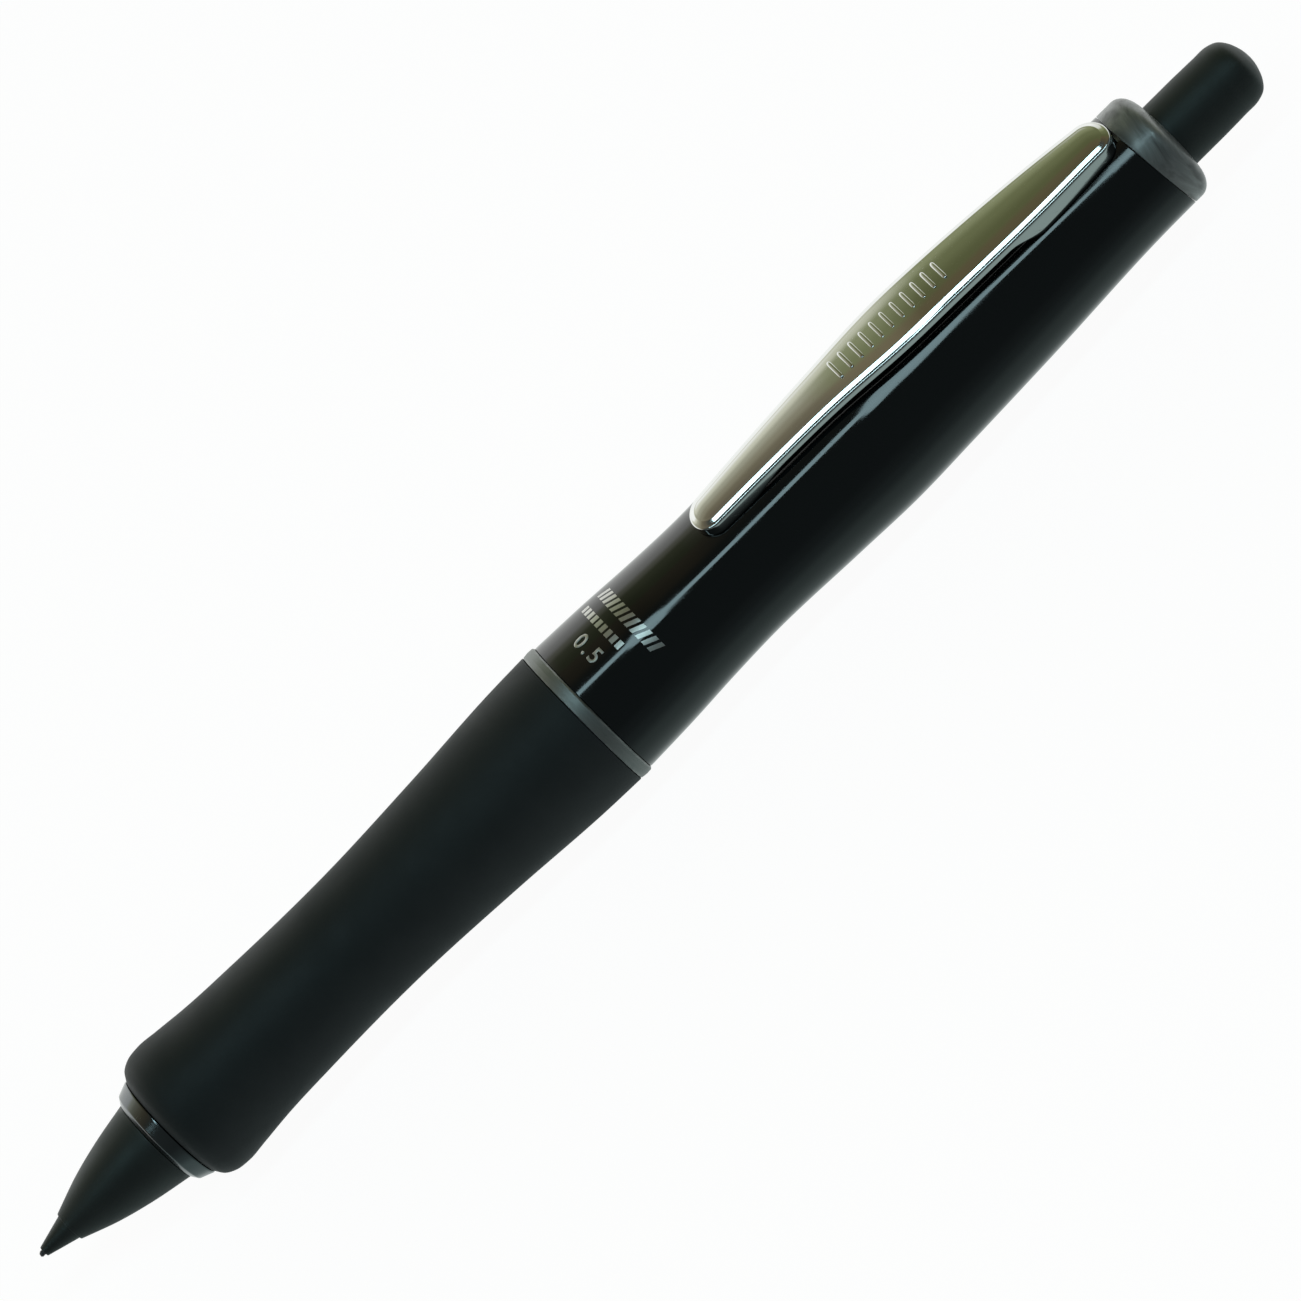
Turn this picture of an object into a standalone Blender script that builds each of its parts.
"""A fat-grip mechanical pencil with a shaker weight, as separate pieces.

Lengths are written in millimetres and MM turns them into Blender's metres.
The pencil lies along world X with its tip towards -X and its clip up (+Z).
A "station" is the distance from the lead's tip towards the push button.
Radii are measured from the pencil's axis. The axis is the empty that every
turned piece hangs on: its local Z runs towards the button, and its local X
points down, away from the clip.
"""

import math

import bmesh
import bpy

MM = 0.001

# Driving dimensions
LENGTH = 138.3
LEAD_RADIUS = 0.25
GREATEST_RADIUS = 6.9
NOSE_STATION = 3.45
GRIP_START = 15.1
GRIP_END = 62.15
SEAM_STATION = 126.5
BUTTON_RADIUS = 3.15
SEAM_SLANT = 1.4 / 10.6
SHEET_THICKNESS = 0.4
HINGE_STATION = 125.4
HINGE_HEIGHT = 5.35

# Fits
SEAM_GAP = 0.05
PRESS_GAP = 0.05
SKIN_GAP = 0.1
SLIDE_GAP = 0.15

# Facets round a turned piece
OUTER_SEGMENTS = 24
INNER_SEGMENTS = 24
LEAD_SEGMENTS = 12
MERGE_DISTANCE = 0.01
SHARP_ANGLE = 30

# Radii shared by neighbouring pieces
CORE_RADIUS = 4.2
CORE_SPIGOT_RADIUS = 5.2
CORE_BORE = 3.5
NOSE_SHANK_RADIUS = 3.4
CUSHION_RADIUS = 4.95
TUBE_RADIUS = 1.9
TUBE_BORE = 1.5
CHUCK_STEM_RADIUS = 0.95
CONNECTOR_RADIUS = 1.75
SLEEVE_RADIUS = 2.6
COLLAR_RADIUS = 2.45
CAP_SPIGOT_RADIUS = 4.3
WEIGHT_RADIUS = 4.3
BARREL_END_RADIUS = 5.3

# Where the mechanism's pieces meet
NOSE_SHOULDER = 13.4
NOSE_SHANK_END = 21.0
CHUCK_FRONT = 15.0
SPRING_SEAT = 18.8
CONNECTOR_FRONT = 29.7
TUBE_FRONT = 34.0
TUBE_END = 128.5
WEIGHT_FRONT = 76.5
WEIGHT_LENGTH = 28.0

AXIS_HEIGHT = GREATEST_RADIUS * math.cos(math.pi / OUTER_SEGMENTS)


def start_empty_scene():
    for obj in list(bpy.data.objects):
        bpy.data.objects.remove(obj, do_unlink=True)


def new_collection(name):
    collection = bpy.data.collections.new(name)
    bpy.context.scene.collection.children.link(collection)
    return collection


start_empty_scene()
PARTS = new_collection("mechanical_pencil")
CUTTERS = new_collection("cutters")
AXIS = bpy.data.objects.new("pencil_axis", None)
AXIS.location = (-LENGTH / 2 * MM, 0, AXIS_HEIGHT * MM)
AXIS.rotation_euler = (0, math.pi / 2, 0)
AXIS.empty_display_size = 0.01
PARTS.objects.link(AXIS)


def finish(name, colour, roughness, metallic=0.0):
    """A plain Principled material."""
    material = bpy.data.materials.new(name)
    material.use_nodes = True
    shader = material.node_tree.nodes["Principled BSDF"]
    shader.inputs["Base Color"].default_value = (*colour, 1)
    shader.inputs["Roughness"].default_value = roughness
    shader.inputs["Metallic"].default_value = metallic
    return material


# Outlines


def curve_through(points, per_span):
    """Points on a smooth curve (Catmull-Rom) through the given ones."""
    padded = [points[0], *points, points[-1]]
    found = []
    for before, start, end, after in zip(padded, padded[1:], padded[2:], padded[3:]):
        for step in range(per_span):
            t = step / per_span
            found.append(tuple(
                0.5 * (2 * b + (c - a) * t + (2 * a - 5 * b + 4 * c - d) * t**2
                       + (3 * b - a - 3 * c + d) * t**3)
                for a, b, c, d in zip(before, start, end, after)
            ))
    return [*found, points[-1]]


def arc(centre, radii, start_deg, end_deg, steps):
    """Points on an ellipse in (radius, station), 0 degrees along the radius."""
    return [
        (
            centre[0] + radii[0] * math.cos(math.radians(angle)),
            centre[1] + radii[1] * math.sin(math.radians(angle)),
        )
        for angle in (
            start_deg + (end_deg - start_deg) * step / steps for step in range(steps + 1)
        )
    ]


# Ways of making a piece


def turned(name, outline, material, segments):
    """A piece turned about the pencil's axis.

    The outline is (radius, station) points, down the outer side from the
    button end to the tip and back up the bore. It closes on itself, unless
    it starts on the axis, where it then also ends.
    """
    mesh = bpy.data.meshes.new(name)
    count = len(outline)
    edges = [(i, i + 1) for i in range(count - 1)]
    if outline[0][0] > 0:
        edges.append((count - 1, 0))
    mesh.from_pydata([(r * MM, 0, s * MM) for r, s in outline], edges, [])
    mesh.materials.append(material)
    obj = bpy.data.objects.new(name, mesh)
    PARTS.objects.link(obj)
    obj.parent = AXIS
    # half a step turns a flat facet, not an edge, to face down
    obj.rotation_euler = (0, 0, math.pi / segments)
    screw = obj.modifiers.new("turn", "SCREW")
    screw.axis = "Z"
    screw.angle = 2 * math.pi
    screw.steps = segments
    screw.render_steps = segments
    screw.use_merge_vertices = True
    screw.merge_threshold = MERGE_DISTANCE * MM
    screw.use_smooth_shade = True
    return obj


def bake(obj):
    """Turns the modifiers so far into a plain mesh."""
    depsgraph = bpy.context.evaluated_depsgraph_get()
    mesh = bpy.data.meshes.new_from_object(obj.evaluated_get(depsgraph))
    obj.modifiers.clear()
    obj.data = mesh


def slant_end(obj, from_station, to_station):
    """Shears the rings of points between two stations to the slanted seam."""
    bake(obj)
    turn = obj.rotation_euler.z
    for vertex in obj.data.vertices:
        if from_station * MM < vertex.co.z < to_station * MM:
            down = vertex.co.x * math.cos(turn) - vertex.co.y * math.sin(turn)
            vertex.co.z += SEAM_SLANT * down


def world_point(station, y, height):
    """World metres of a point given by its station and height above the axis."""
    return ((station - LENGTH / 2) * MM, y * MM, (AXIS_HEIGHT + height) * MM)


def cutter_box(name, sides):
    """A box with the given sides in metres, kept out of the model itself."""
    mesh = bpy.data.meshes.new(name)
    cube = bmesh.new()
    bmesh.ops.create_cube(cube, size=1.0)
    bmesh.ops.scale(cube, vec=sides, verts=cube.verts)
    cube.to_mesh(mesh)
    cube.free()
    obj = bpy.data.objects.new(name, mesh)
    obj.hide_render = True
    obj.display_type = "WIRE"
    CUTTERS.objects.link(obj)
    return obj


def cutter_between(name, low, high):
    """A box between two corners, each (station, y, height above the axis)."""
    corners = list(zip(world_point(*low), world_point(*high)))
    obj = cutter_box(name, [b - a for a, b in corners])
    obj.location = [(a + b) / 2 for a, b in corners]
    return obj


def combine(obj, cutter, operation):
    boolean = obj.modifiers.new(operation.lower(), "BOOLEAN")
    boolean.operation = operation
    boolean.object = cutter


# Front end: lead, sliding tip, nose


def lead_outline(start, end):
    return [(0, end), (LEAD_RADIUS, end), (LEAD_RADIUS, start), (0, start)]


LEAD_LENGTH = 60.0
LEAD_SHOWING = 0.51
LEAD_PASSAGE = 0.32
CONE_TIP_RADIUS = 0.46
CONE_BASE_RADIUS = 1.24
CONE_FLANGE_RADIUS = 1.7
CONE_FLANGE_FRONT = 6.25
CONE_REAR = 7.6
RETAINER_RADIUS = 0.75
RETAINER_BORE = 0.28
RETAINER_FRONT = 5.25
RETAINER_REAR = 7.2

graphite = finish("graphite", (0.05, 0.05, 0.055), 0.45, 0.3)
black_plastic = finish("matte_black_plastic", (0.012, 0.012, 0.013), 0.5)

turned("lead", lead_outline(0.0, LEAD_LENGTH), graphite, LEAD_SEGMENTS)

turned(
    "slide_cone",
    [
        (CONE_FLANGE_RADIUS, CONE_REAR),
        (CONE_FLANGE_RADIUS, CONE_FLANGE_FRONT),
        (CONE_BASE_RADIUS, CONE_FLANGE_FRONT),
        (CONE_BASE_RADIUS, NOSE_STATION - SEAM_GAP),
        (CONE_TIP_RADIUS, LEAD_SHOWING),
        (LEAD_PASSAGE, LEAD_SHOWING),
        (LEAD_PASSAGE, RETAINER_FRONT - SEAM_GAP),
        (RETAINER_RADIUS + PRESS_GAP, RETAINER_FRONT - SEAM_GAP),
        (RETAINER_RADIUS + PRESS_GAP, CONE_REAR),
    ],
    black_plastic,
    INNER_SEGMENTS,
)

turned(
    "lead_retainer",
    [
        (RETAINER_RADIUS, RETAINER_REAR),
        (RETAINER_RADIUS, RETAINER_FRONT),
        (RETAINER_BORE, RETAINER_FRONT),
        (RETAINER_BORE, RETAINER_REAR),
    ],
    finish("retainer_rubber", (0.02, 0.02, 0.02), 0.8),
    INNER_SEGMENTS,
)

NOSE_SHAPE = [(4.05, NOSE_SHOULDER), (3.36, 9.74), (2.61, 6.82), (1.42, NOSE_STATION)]
NOSE_BORE = CONE_BASE_RADIUS + 0.06
NOSE_CHAMBER = 1.85
NOSE_CHAMBER_FRONT = 6.15
NOSE_SOCKET = SLEEVE_RADIUS + SLIDE_GAP
SOCKET_START = 14.9

turned(
    "nose_cone",
    [
        (NOSE_SHANK_RADIUS, NOSE_SHANK_END),
        (NOSE_SHANK_RADIUS, NOSE_SHOULDER),
        *curve_through(NOSE_SHAPE, 3),
        (NOSE_BORE, NOSE_STATION),
        (NOSE_BORE, NOSE_CHAMBER_FRONT),
        (NOSE_CHAMBER, NOSE_CHAMBER_FRONT),
        (NOSE_CHAMBER, SOCKET_START),
        (NOSE_SOCKET, SOCKET_START),
        (NOSE_SOCKET, NOSE_SHANK_END),
    ],
    black_plastic,
    OUTER_SEGMENTS,
)

turned(
    "nose_ring",
    [
        (5.2, GRIP_START - SEAM_GAP),
        (4.72, 13.8),
        (4.2, NOSE_SHOULDER + SEAM_GAP),
        (CORE_BORE, NOSE_SHOULDER + SEAM_GAP),
        (CORE_BORE, GRIP_START - SEAM_GAP),
    ],
    finish("smoky_chrome", (0.2, 0.21, 0.22), 0.18, 1.0),
    OUTER_SEGMENTS,
)

# Grip: stiff core, soft cushion, rubber sleeve

CORE_FRONT = 15.2
CORE_STEP = 22.0
CORE_WAIST_BORE = 2.9
CORE_REAR_BORE = 4.4
CORE_END = 72.0
CUSHION_START = 18.8
CUSHION_END = 55.0

turned(
    "grip_core",
    [
        (CORE_SPIGOT_RADIUS, CORE_END),
        (CORE_SPIGOT_RADIUS, 58.0),
        (CORE_RADIUS, 56.0),
        (CORE_RADIUS, CORE_FRONT),
        (CORE_BORE, CORE_FRONT),
        (CORE_BORE, CORE_STEP),
        (CORE_WAIST_BORE, CORE_STEP),
        (CORE_WAIST_BORE, 60.0),
        (CORE_REAR_BORE, 62.5),
        (CORE_REAR_BORE, CORE_END),
    ],
    finish("core_plastic", (0.03, 0.03, 0.032), 0.4),
    INNER_SEGMENTS,
)

turned(
    "grip_cushion",
    [
        (CUSHION_RADIUS, CUSHION_END),
        (CUSHION_RADIUS, CUSHION_START),
        (CORE_RADIUS + PRESS_GAP, CUSHION_START),
        (CORE_RADIUS + PRESS_GAP, CUSHION_END),
    ],
    finish("soft_gel", (0.12, 0.12, 0.13), 0.6),
    INNER_SEGMENTS,
)

GRIP_SHAPE = [
    (6.85, GRIP_END),
    (6.76, 58.5),
    (6.15, 48.7),
    (5.68, 38.0),
    (5.80, 28.0),
    (6.02, 22.4),
    (6.47, 17.6),
]
SLEEVE_BORE = CUSHION_RADIUS + SKIN_GAP

turned(
    "grip_sleeve",
    [
        *curve_through(GRIP_SHAPE, 2),
        (6.22, 16.2),
        (5.75, 15.5),
        (5.25, GRIP_START),
        (CORE_RADIUS + SKIN_GAP, GRIP_START),
        (CORE_RADIUS + SKIN_GAP, 18.0),
        (SLEEVE_BORE, CUSHION_START - 0.1),
        (SLEEVE_BORE, CUSHION_END + 0.3),
        (CORE_SPIGOT_RADIUS + SKIN_GAP, 57.6),
        (CORE_SPIGOT_RADIUS + SKIN_GAP, GRIP_END),
    ],
    finish("grip_rubber", (0.011, 0.014, 0.014), 0.75),
    OUTER_SEGMENTS,
)

# Rear body: joint ring, barrel, cap ring, push button

RING_START = GRIP_END + SEAM_GAP
RING_END = 63.4
RING_CHAMFER = 0.2

turned(
    "joint_ring",
    [
        (GREATEST_RADIUS - RING_CHAMFER, RING_END),
        (GREATEST_RADIUS, RING_END - RING_CHAMFER),
        (GREATEST_RADIUS, RING_START),
        (CORE_SPIGOT_RADIUS + SKIN_GAP, RING_START),
        (CORE_SPIGOT_RADIUS + SKIN_GAP, RING_END),
    ],
    finish("satin_grey", (0.09, 0.095, 0.1), 0.4, 0.8),
    OUTER_SEGMENTS,
)

BARREL_SHAPE = [
    (5.34, 123.4),
    (5.97, 110.4),
    (6.34, 100.7),
    (6.54, 94.0),
    (6.36, 87.7),
    (6.09, 78.2),
    (6.35, 71.5),
    (6.70, RING_END + SEAM_GAP),
]
BARREL_BORE = 4.7
BARREL_REAR_BORE = CAP_SPIGOT_RADIUS + SKIN_GAP

barrel = turned(
    "barrel",
    [
        (BARREL_END_RADIUS, SEAM_STATION),
        *curve_through(BARREL_SHAPE, 2),
        (CORE_SPIGOT_RADIUS + SLIDE_GAP, RING_END + SEAM_GAP),
        (CORE_SPIGOT_RADIUS + SLIDE_GAP, CORE_END + 0.3),
        (BARREL_BORE, CORE_END + 0.6),
        (BARREL_BORE, 115.0),
        (BARREL_REAR_BORE, 118.0),
        (BARREL_REAR_BORE, SEAM_STATION),
    ],
    finish("gloss_black", (0.006, 0.007, 0.008), 0.06),
    OUTER_SEGMENTS,
)
slant_end(barrel, SEAM_STATION - 1, SEAM_STATION + 1)

CAP_BORE = BUTTON_RADIUS + SLIDE_GAP
CAP_LIP_RADIUS = CAP_BORE + 0.15
CAP_END = 129.1
CAP_SHOULDER = 127.7
CAP_SPIGOT_FRONT = 119.0

cap_ring = turned(
    "cap_ring",
    [
        *arc((CAP_LIP_RADIUS, CAP_SHOULDER),
             (BARREL_END_RADIUS - CAP_LIP_RADIUS, CAP_END - CAP_SHOULDER), 90, 0, 5),
        (BARREL_END_RADIUS, SEAM_STATION + SEAM_GAP),
        (CAP_SPIGOT_RADIUS, SEAM_STATION + SEAM_GAP),
        (CAP_SPIGOT_RADIUS, CAP_SPIGOT_FRONT),
        (CAP_BORE, CAP_SPIGOT_FRONT),
        (CAP_BORE, CAP_END),
    ],
    finish("pearl_grey", (0.11, 0.115, 0.12), 0.35, 0.5),
    OUTER_SEGMENTS,
)
slant_end(cap_ring, SEAM_STATION - 0.5, SEAM_STATION + 0.5)

BUTTON_SKIRT = 119.5
BUTTON_BORE = COLLAR_RADIUS + SKIN_GAP
BUTTON_CORNER = 1.6
BUTTON_ROOF = 136.7
BUTTON_TAPER = 0.1

turned(
    "push_button",
    [
        (0, LENGTH),
        *arc((BUTTON_RADIUS - BUTTON_TAPER - BUTTON_CORNER, LENGTH - BUTTON_CORNER),
             (BUTTON_CORNER, BUTTON_CORNER), 90, 0, 4),
        (BUTTON_RADIUS, CAP_END),
        (BUTTON_RADIUS, BUTTON_SKIRT),
        (BUTTON_BORE, BUTTON_SKIRT),
        (BUTTON_BORE, BUTTON_ROOF),
        (0, BUTTON_ROOF),
    ],
    black_plastic,
    OUTER_SEGMENTS,
)

# Clip: one pressed channel of sheet metal, rounded at both ends, whose tongue
# drops into a notch in the barrel's end

CLIP_TIP = 79.6
CLIP_ROOT = 125.7
CLIP_TOP = [(7.5, CLIP_TIP), (7.95, 86.0), (8.35, 95.0), (8.3, 103.0), (7.5, 117.4),
            (6.95, 124.3), (6.8, CLIP_ROOT)]
CLIP_HALF_WIDTH = [(1.75, CLIP_TIP), (2.05, 86.0), (2.45, 94.2), (3.0, 102.5),
                   (2.95, 107.0), (2.55, 117.4), (2.0, 124.3), (1.9, CLIP_ROOT)]
CLIP_DEPTH = [(1.5, CLIP_TIP), (1.5, 84.5), (0.8, 88.5), (0.8, 113.0), (2.1, 117.0),
              (2.1, CLIP_ROOT)]
CLIP_CROWN = 0.4
CLIP_SHOULDER = 0.25
CLIP_CLEARANCE = 0.08
CLIP_STATIONS = 13
CLIP_END_STEPS = 6
TONGUE_HALF_WIDTH = 0.9
TONGUE_THICKNESS = 0.3
TONGUE_LOW = 4.6
TONGUE_HIGH = 5.9
NOTCH_ROOM = 0.3
NOTCH_FRONT = 125.05


def law(points, station):
    """The value at a station on straight lines through (value, station)."""
    for (a, low), (b, high) in zip(points, points[1:]):
        if station <= high:
            return a + (b - a) * (station - low) / (high - low)
    return points[-1][0]


CLIP_TOP_LINE = curve_through(CLIP_TOP, 4)
CLIP_WIDTH_LINE = curve_through(CLIP_HALF_WIDTH, 4)


def barrel_surface(station, y):
    """Height of the barrel's skin above the axis, at a distance y aside."""
    line = [(BARREL_END_RADIUS, SEAM_STATION), *curve_through(BARREL_SHAPE, 4)]
    radius = law(line[::-1], station)
    return math.sqrt(radius**2 - y**2)


def clip_plan():
    """Pairs of middle-line station and outline point, once round the clip."""
    tip_radius = law(CLIP_WIDTH_LINE, CLIP_TIP)
    root_radius = law(CLIP_WIDTH_LINE, CLIP_ROOT)
    first = CLIP_TIP + tip_radius
    last = CLIP_ROOT - root_radius
    side = [first + (last - first) * i / CLIP_STATIONS for i in range(CLIP_STATIONS + 1)]
    plan = [(s, (s, law(CLIP_WIDTH_LINE, s))) for s in side]
    for i in range(1, CLIP_END_STEPS):
        angle = math.pi * (0.5 - i / CLIP_END_STEPS)
        wide = law(CLIP_WIDTH_LINE, last)
        plan.append((last, (last + root_radius * math.cos(angle), wide * math.sin(angle))))
    plan += [(s, (s, -law(CLIP_WIDTH_LINE, s))) for s in reversed(side)]
    for i in range(1, CLIP_END_STEPS):
        angle = math.pi * (1.5 - i / CLIP_END_STEPS)
        wide = law(CLIP_WIDTH_LINE, first)
        plan.append((first, (first + tip_radius * math.cos(angle), wide * math.sin(angle))))
    return plan


def clip_loop(plan, share, drop):
    """One closed loop of the skin: a share of the way out to the edge."""
    loop = []
    for middle, (station, y) in plan:
        s = middle + (station - middle) * share
        height = law(CLIP_TOP_LINE, s) - CLIP_CROWN * share**2 - drop
        loop.append([s, y * share, height])
    return loop


def clip_skin_loops():
    """Loops from the middle of the top face out and down to the open edge."""
    plan = clip_plan()
    loops = [clip_loop(plan, share, 0) for share in (0, 0.55, 0.86)]
    loops.append(clip_loop(plan, 1, CLIP_SHOULDER))
    edge = clip_loop(plan, 1, 0)
    for point in edge:
        station, y, top = point
        inside = max(abs(y) - SHEET_THICKNESS, 0)
        lowest = barrel_surface(station, inside) + CLIP_CLEARANCE
        point[2] = max(top - law(CLIP_DEPTH, station), lowest)
    loops.append(edge)
    return loops


def pressed_clip(hinge):
    origin = world_point(*hinge)
    skin = bmesh.new()
    rows = [
        [skin.verts.new([a - b for a, b in zip(world_point(*point), origin)])
         for point in loop]
        for loop in clip_skin_loops()
    ]
    for inner, outer in zip(rows, rows[1:]):
        for i in range(len(inner)):
            j = (i + 1) % len(inner)
            skin.faces.new((inner[i], inner[j], outer[j], outer[i]))
    bmesh.ops.remove_doubles(skin, verts=skin.verts, dist=0.001 * MM)
    mesh = bpy.data.meshes.new("clip")
    skin.to_mesh(mesh)
    skin.free()
    mesh.materials.append(finish("chrome", (0.75, 0.75, 0.74), 0.08, 1.0))
    obj = bpy.data.objects.new("clip", mesh)
    PARTS.objects.link(obj)
    obj.location = origin
    wall = obj.modifiers.new("sheet", "SOLIDIFY")
    wall.thickness = SHEET_THICKNESS * MM
    wall.offset = -1
    return obj


clip = pressed_clip((HINGE_STATION, 0, HINGE_HEIGHT))
tongue = cutter_between(
    "clip_tongue",
    (HINGE_STATION - TONGUE_THICKNESS / 2, -TONGUE_HALF_WIDTH, TONGUE_LOW),
    (HINGE_STATION + TONGUE_THICKNESS / 2, TONGUE_HALF_WIDTH, TONGUE_HIGH),
)
combine(clip, tongue, "UNION")
notch = cutter_between(
    "clip_notch",
    (NOTCH_FRONT, -TONGUE_HALF_WIDTH - NOTCH_ROOM, TONGUE_LOW - NOTCH_ROOM),
    (SEAM_STATION + 1, TONGUE_HALF_WIDTH + NOTCH_ROOM, BARREL_END_RADIUS + 1),
)
combine(barrel, notch, "DIFFERENCE")

# Feed mechanism, from the tip backwards

brass = finish("brass", (0.62, 0.45, 0.2), 0.3, 1.0)
natural_plastic = finish("natural_plastic", (0.55, 0.56, 0.55), 0.4)

CHUCK_REAR = 31.0
CHUCK_HEAD_RADIUS = 1.5
SLIT_WIDTH = 0.25
SLIT_REACH = 2.5
SLIT_START = CHUCK_FRONT - 1
SLIT_END = 26.0
CHUCK_JAWS = 3

chuck = turned(
    "chuck",
    [
        (CHUCK_STEM_RADIUS, CHUCK_REAR),
        (CHUCK_STEM_RADIUS, 18.2),
        (CHUCK_HEAD_RADIUS, 16.6),
        (CHUCK_HEAD_RADIUS, CHUCK_FRONT + 0.3),
        (CHUCK_HEAD_RADIUS - 0.3, CHUCK_FRONT),
        (LEAD_PASSAGE, CHUCK_FRONT),
        (LEAD_PASSAGE, CHUCK_REAR),
    ],
    brass,
    INNER_SEGMENTS,
)
bake(chuck)
for jaw in range(CHUCK_JAWS):
    turn = 2 * math.pi * jaw / CHUCK_JAWS
    slit = cutter_box(f"chuck_slit_{jaw + 1}",
                      [side * MM for side in (SLIT_WIDTH, SLIT_REACH, SLIT_END - SLIT_START)])
    slit.parent = AXIS
    slit.rotation_euler = (0, 0, turn)
    slit.location = (
        -SLIT_REACH / 2 * MM * math.sin(turn),
        SLIT_REACH / 2 * MM * math.cos(turn),
        (SLIT_START + SLIT_END) / 2 * MM,
    )
    combine(chuck, slit, "DIFFERENCE")

RING_FRONT = 15.55
RING_REAR = 17.15
RING_RADIUS = 2.1
RING_EDGE = 0.1
RING_BORE = CHUCK_HEAD_RADIUS + 0.12

turned(
    "clutch_ring",
    [
        (RING_RADIUS - RING_EDGE, RING_REAR),
        (RING_RADIUS, RING_REAR - RING_EDGE),
        (RING_RADIUS, RING_FRONT + RING_EDGE),
        (RING_RADIUS - RING_EDGE, RING_FRONT),
        (RING_BORE, RING_FRONT),
        (RING_BORE, RING_REAR),
    ],
    brass,
    INNER_SEGMENTS,
)

SLEEVE_FLANGE_RADIUS = 3.3
SLEEVE_END = 29.4
SLEEVE_FLOOR = 0.6
RING_ROOM = 2.2
STEM_HOLE = 1.15
SPRING_ROOM = 1.95

turned(
    "chuck_sleeve",
    [
        (SLEEVE_RADIUS, SLEEVE_END),
        (SLEEVE_RADIUS, CORE_STEP - SEAM_GAP),
        (SLEEVE_FLANGE_RADIUS, CORE_STEP - SEAM_GAP),
        (SLEEVE_FLANGE_RADIUS, NOSE_SHANK_END + SEAM_GAP),
        (SLEEVE_RADIUS, NOSE_SHANK_END + SEAM_GAP),
        (SLEEVE_RADIUS, SOCKET_START + SEAM_GAP),
        (RING_ROOM, SOCKET_START + SEAM_GAP),
        (RING_ROOM, SPRING_SEAT - SLEEVE_FLOOR),
        (STEM_HOLE, SPRING_SEAT - SLEEVE_FLOOR),
        (STEM_HOLE, SPRING_SEAT),
        (SPRING_ROOM, SPRING_SEAT),
        (SPRING_ROOM, SLEEVE_END),
    ],
    natural_plastic,
    INNER_SEGMENTS,
)

CONNECTOR_REAR = 37.0
STEM_SOCKET_END = CHUCK_REAR + 0.2
FUNNEL_START = 35.5
FUNNEL_THROAT = 0.4
FUNNEL_MOUTH = 1.2

turned(
    "chuck_connector",
    [
        (TUBE_BORE - PRESS_GAP, CONNECTOR_REAR),
        (TUBE_BORE - PRESS_GAP, TUBE_FRONT - SEAM_GAP),
        (CONNECTOR_RADIUS, TUBE_FRONT - SEAM_GAP),
        (CONNECTOR_RADIUS, CONNECTOR_FRONT),
        (CHUCK_STEM_RADIUS + PRESS_GAP, CONNECTOR_FRONT),
        (CHUCK_STEM_RADIUS + PRESS_GAP, STEM_SOCKET_END),
        (FUNNEL_THROAT, STEM_SOCKET_END),
        (FUNNEL_THROAT, FUNNEL_START),
        (FUNNEL_MOUTH, CONNECTOR_REAR),
    ],
    natural_plastic,
    INNER_SEGMENTS,
)

SPRING_TURNS = 6
SPRING_COIL_RADIUS = 1.5
SPRING_WIRE_RADIUS = 0.15
POINTS_PER_TURN = 10


def coil_spring():
    """A steel wire wound about the chuck's stem, with its end turns closed."""
    front = SPRING_SEAT + SPRING_WIRE_RADIUS + 0.05
    back = CONNECTOR_FRONT - SPRING_WIRE_RADIUS - 0.05
    closed_pitch = 2.6 * SPRING_WIRE_RADIUS
    count = SPRING_TURNS * POINTS_PER_TURN
    curve = bpy.data.curves.new("return_spring", "CURVE")
    curve.dimensions = "3D"
    curve.bevel_depth = SPRING_WIRE_RADIUS * MM
    curve.bevel_resolution = 2
    curve.use_fill_caps = True
    spline = curve.splines.new("POLY")
    spline.points.add(count)
    for i, point in enumerate(spline.points):
        done = i / POINTS_PER_TURN
        open_share = (done - 1) / (SPRING_TURNS - 2)
        along = front + closed_pitch * min(done, 1)
        along += (back - front - 2 * closed_pitch) * min(max(open_share, 0), 1)
        along += closed_pitch * max(done - SPRING_TURNS + 1, 0)
        angle = 2 * math.pi * done
        point.co = (
            SPRING_COIL_RADIUS * math.cos(angle) * MM,
            SPRING_COIL_RADIUS * math.sin(angle) * MM,
            along * MM,
            1,
        )
    curve.materials.append(finish("spring_steel", (0.5, 0.5, 0.5), 0.25, 1.0))
    obj = bpy.data.objects.new("return_spring", curve)
    PARTS.objects.link(obj)
    obj.parent = AXIS


coil_spring()

turned(
    "lead_tube",
    [
        (TUBE_RADIUS, TUBE_END),
        (TUBE_RADIUS, TUBE_FRONT),
        (TUBE_BORE, TUBE_FRONT),
        (TUBE_BORE, TUBE_END),
    ],
    natural_plastic,
    INNER_SEGMENTS,
)

STRIKE_RADIUS = 3.6
STRIKE_FRONT = 73.6
STRIKE_REAR = WEIGHT_FRONT - 0.3

turned(
    "strike_collar",
    [
        (STRIKE_RADIUS - 0.2, STRIKE_REAR),
        (STRIKE_RADIUS, STRIKE_REAR - 0.2),
        (STRIKE_RADIUS, STRIKE_FRONT + 0.8),
        (STRIKE_RADIUS - 1, STRIKE_FRONT),
        (TUBE_RADIUS + PRESS_GAP, STRIKE_FRONT),
        (TUBE_RADIUS + PRESS_GAP, STRIKE_REAR),
    ],
    natural_plastic,
    INNER_SEGMENTS,
)

WEIGHT_CHAMFER = 0.4
WEIGHT_BORE = TUBE_RADIUS + 0.25

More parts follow.
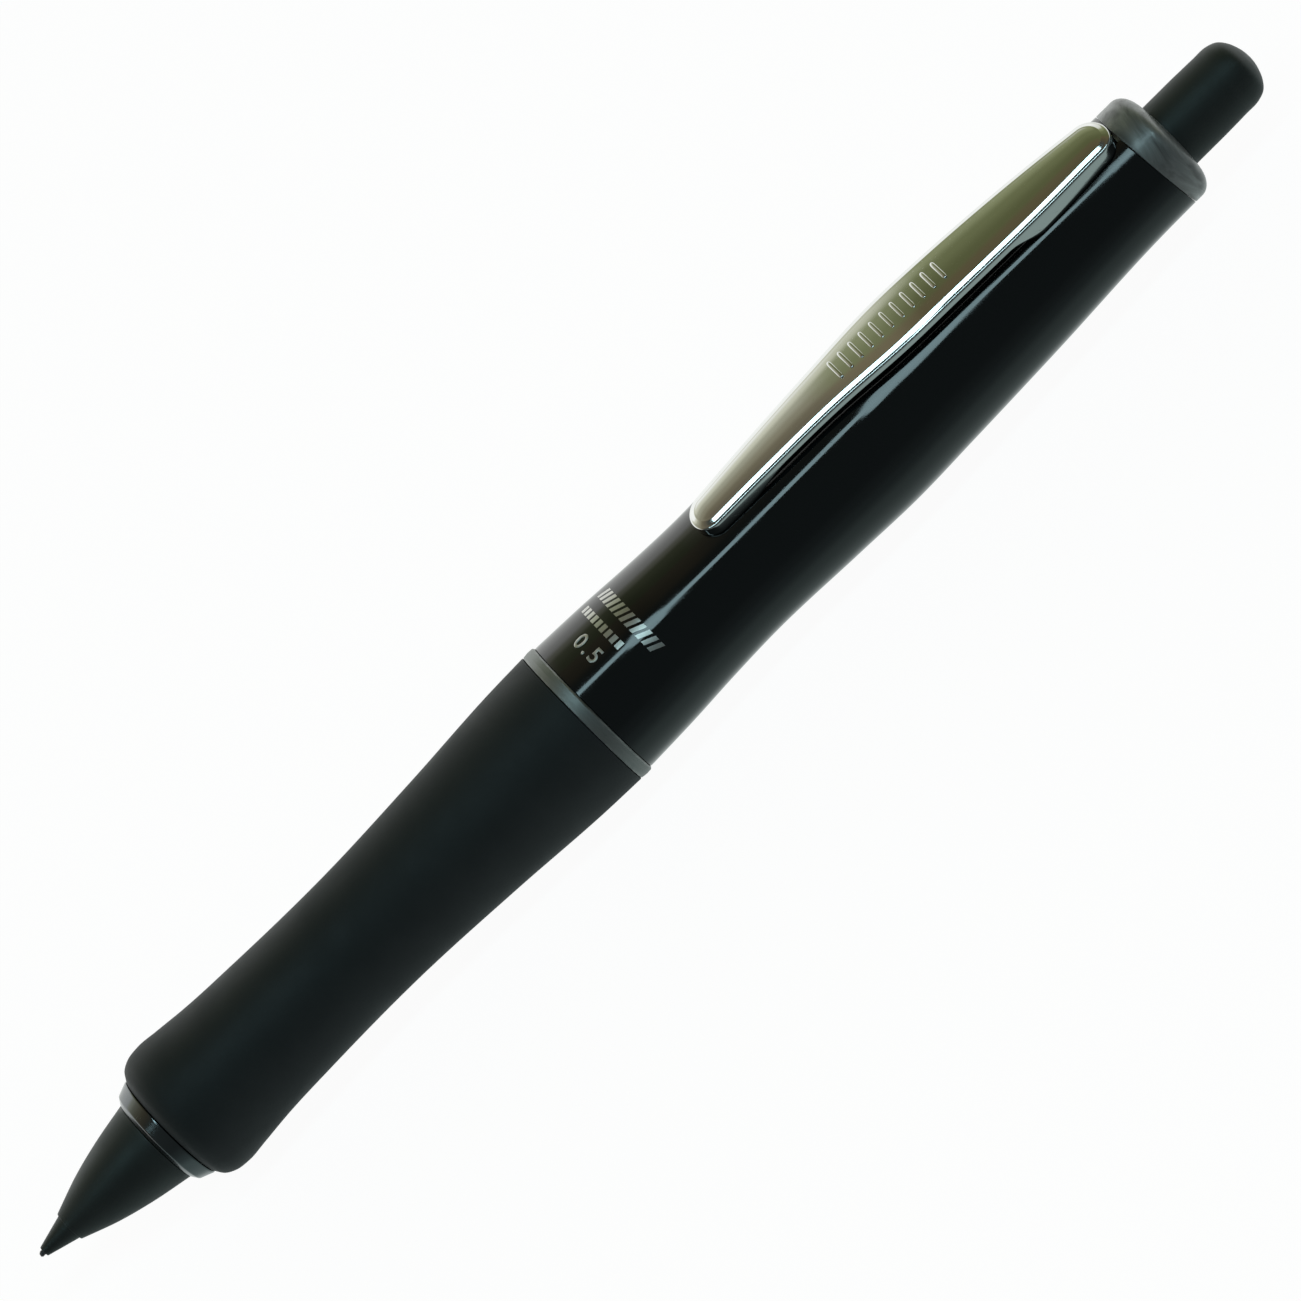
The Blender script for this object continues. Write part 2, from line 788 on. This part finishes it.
turned(
    "shaker_weight",
    [
        (WEIGHT_RADIUS - WEIGHT_CHAMFER, WEIGHT_FRONT + WEIGHT_LENGTH),
        (WEIGHT_RADIUS, WEIGHT_FRONT + WEIGHT_LENGTH - WEIGHT_CHAMFER),
        (WEIGHT_RADIUS, WEIGHT_FRONT + WEIGHT_CHAMFER),
        (WEIGHT_RADIUS - WEIGHT_CHAMFER, WEIGHT_FRONT),
        (WEIGHT_BORE, WEIGHT_FRONT),
        (WEIGHT_BORE, WEIGHT_FRONT + WEIGHT_LENGTH),
    ],
    brass,
    INNER_SEGMENTS,
)

HOLDER_PLUG_FRONT = 124.5
HOLDER_END = 133.5
HOLDER_HOLE = 1.1
ERASER_RADIUS = 2.05
ERASER_SEAT = 130.0
ERASER_END = 136.0
ERASER_EDGE = 0.3

turned(
    "eraser_holder",
    [
        (COLLAR_RADIUS, HOLDER_END),
        (COLLAR_RADIUS, TUBE_END + SEAM_GAP),
        (TUBE_BORE - PRESS_GAP, TUBE_END + SEAM_GAP),
        (TUBE_BORE - PRESS_GAP, HOLDER_PLUG_FRONT),
        (HOLDER_HOLE, HOLDER_PLUG_FRONT),
        (HOLDER_HOLE, ERASER_SEAT),
        (ERASER_RADIUS + SKIN_GAP, ERASER_SEAT),
        (ERASER_RADIUS + SKIN_GAP, HOLDER_END),
    ],
    natural_plastic,
    INNER_SEGMENTS,
)

turned(
    "eraser",
    [
        (0, ERASER_END),
        (ERASER_RADIUS - ERASER_EDGE, ERASER_END),
        (ERASER_RADIUS, ERASER_END - ERASER_EDGE),
        (ERASER_RADIUS, ERASER_SEAT + SEAM_GAP),
        (0, ERASER_SEAT + SEAM_GAP),
    ],
    finish("white_eraser", (0.8, 0.8, 0.78), 0.8),
    INNER_SEGMENTS,
)

# Spare leads, loose side by side in the lead tube

SPARE_LEADS = 3
SPARE_START = 40.0
SPARE_OFFSET = 0.85

for spare in range(SPARE_LEADS):
    turn = 2 * math.pi * spare / SPARE_LEADS
    spare_lead = turned(f"spare_lead_{spare + 1}", lead_outline(0, LEAD_LENGTH), graphite,
                        LEAD_SEGMENTS)
    spare_lead.location = (
        SPARE_OFFSET * math.cos(turn) * MM,
        SPARE_OFFSET * math.sin(turn) * MM,
        SPARE_START * MM,
    )

for obj in PARTS.objects:
    if obj.type == "MESH":
        obj.data.shade_smooth()
        obj.data.set_sharp_from_angle(angle=math.radians(SHARP_ANGLE))
